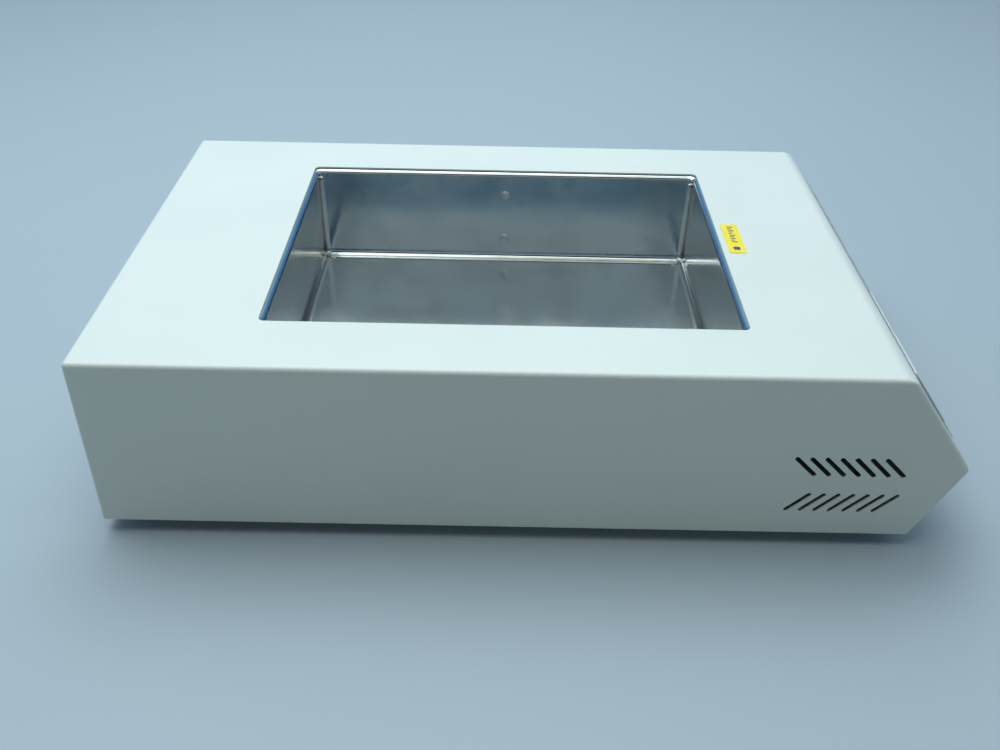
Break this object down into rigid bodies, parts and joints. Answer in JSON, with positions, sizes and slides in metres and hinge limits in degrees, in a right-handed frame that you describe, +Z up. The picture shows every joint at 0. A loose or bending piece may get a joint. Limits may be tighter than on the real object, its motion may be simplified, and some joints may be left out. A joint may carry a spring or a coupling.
{
  "type": "water bath",
  "caption": "Shallow bench-top laboratory water bath: powder-coated case with a sloping control face and vented sides, round an open stainless tank.",
  "frame": {"origin": "on the bench, under the middle of the whole bath", "axes": "+X towards the control face at the front, +Z up, and the side with its vents seen in the picture faces -Y"},
  "size_m": [0.5424, 0.33, 0.1305],
  "materials": {
    "ivory_powder_coat": "ivory powder coat with a fine texture",
    "dull_zinc": "zinc plate",
    "tank_stainless": "satin stainless steel",
    "black_rubber": "moulded",
    "clear_silicone": "milky sealant",
    "orange_silicone": "silicone mat with elements inside",
    "glass_wool": "felted glass wool",
    "grey_fascia": "fine matt film",
    "silver_trim": "satin silver",
    "red_window": "tinted, clear",
    "key_grey": "moulded",
    "amber_lens": "tinted lens",
    "black_plastic": "moulded",
    "reset_red": "moulded",
    "label_yellow": "coated sticker",
    "board_green": "solder resist on glass epoxy",
    "relay_blue": "moulded case",
    "wire_sheath": "sheath",
    "copper": "bare copper"
  },
  "bodies": {
    "housing": {"cover_housing": "ivory_powder_coat", "base_pan": "ivory_powder_coat", "base_screw_1": "dull_zinc", "base_screw_2": "dull_zinc", "base_screw_3": "dull_zinc", "base_screw_4": "dull_zinc", "foot_screw_1": "dull_zinc", "foot_screw_2": "dull_zinc", "foot_screw_3": "dull_zinc", "foot_screw_4": "dull_zinc", "flange_nut_1": "dull_zinc", "flange_nut_2": "dull_zinc", "flange_nut_3": "dull_zinc", "flange_nut_4": "dull_zinc", "clamp_nut_1": "dull_zinc", "clamp_nut_2": "dull_zinc", "sensor_clamp": "dull_zinc", "temperature_probe": "dull_zinc", "inlet_screw_1": "dull_zinc", "inlet_screw_2": "dull_zinc", "board_standoff_1": "dull_zinc", "board_standoff_2": "dull_zinc", "board_standoff_3": "dull_zinc", "board_standoff_4": "dull_zinc", "tank": "tank_stainless", "foot_1": "black_rubber", "foot_2": "black_rubber", "foot_3": "black_rubber", "foot_4": "black_rubber", "tank_seal": "clear_silicone", "heater_mat": "orange_silicone", "bottom_insulation": "glass_wool", "side_insulation": "glass_wool", "fascia": "grey_fascia", "display_frame": "silver_trim", "display_window": "red_window", "lamp_heat": "amber_lens", "lamp_limit": "amber_lens", "display_digits": "black_plastic", "switch_body": "black_plastic", "limit_thermostat": "black_plastic", "inlet": "black_plastic", "transformer": "black_plastic", "deck_label": "label_yellow", "display_board": "board_green", "power_board": "board_green", "relay": "relay_blue", "terminal_block": "wire_sheath", "mains_harness": "wire_sheath", "heater_lead": "wire_sheath", "probe_lead": "wire_sheath", "limit_bulb": "copper", "limit_capillary": "copper"},
    "power_rocker_body": {"power_rocker": "black_plastic"},
    "fuse_drawer_body": {"fuse_drawer": "black_plastic"},
    "limit_reset_body": {"limit_reset": "reset_red"},
    "key_standby_body": {"key_standby": "key_grey"},
    "key_set_body": {"key_set": "key_grey"},
    "key_down_body": {"key_down": "key_grey"},
    "key_up_body": {"key_up": "key_grey"}
  },
  "joints": [
    {"name": "key_standby_press", "type": "slide", "parent": "housing", "child": "key_standby_body", "axis": [-0.8044, 0, -0.594], "range_m": [0, 0.0006], "stiffness_N_per_m": 1500, "springref_m": -0.0004},
    {"name": "key_set_press", "type": "slide", "parent": "housing", "child": "key_set_body", "axis": [-0.8044, 0, -0.594], "range_m": [0, 0.0006], "stiffness_N_per_m": 1500, "springref_m": -0.0004},
    {"name": "key_down_press", "type": "slide", "parent": "housing", "child": "key_down_body", "axis": [-0.8044, 0, -0.594], "range_m": [0, 0.0006], "stiffness_N_per_m": 1500, "springref_m": -0.0004},
    {"name": "key_up_press", "type": "slide", "parent": "housing", "child": "key_up_body", "axis": [-0.8044, 0, -0.594], "range_m": [0, 0.0006], "stiffness_N_per_m": 1500, "springref_m": -0.0004},
    {"name": "limit_reset_press", "type": "slide", "parent": "housing", "child": "limit_reset_body", "axis": [1, 0, 0], "range_m": [0, 0.0012], "stiffness_N_per_m": 1500, "springref_m": -0.0008},
    {"name": "power_rocker_tilt", "type": "hinge", "parent": "housing", "child": "power_rocker_body", "pos_m": [-0.2667, -0.04, 0.066], "axis": [0, 1, 0], "range_deg": [0, 16]},
    {"name": "fuse_drawer_slide", "type": "slide", "parent": "housing", "child": "fuse_drawer_body", "axis": [-1, 0, 0], "range_m": [0, 0.016]}
  ]
}
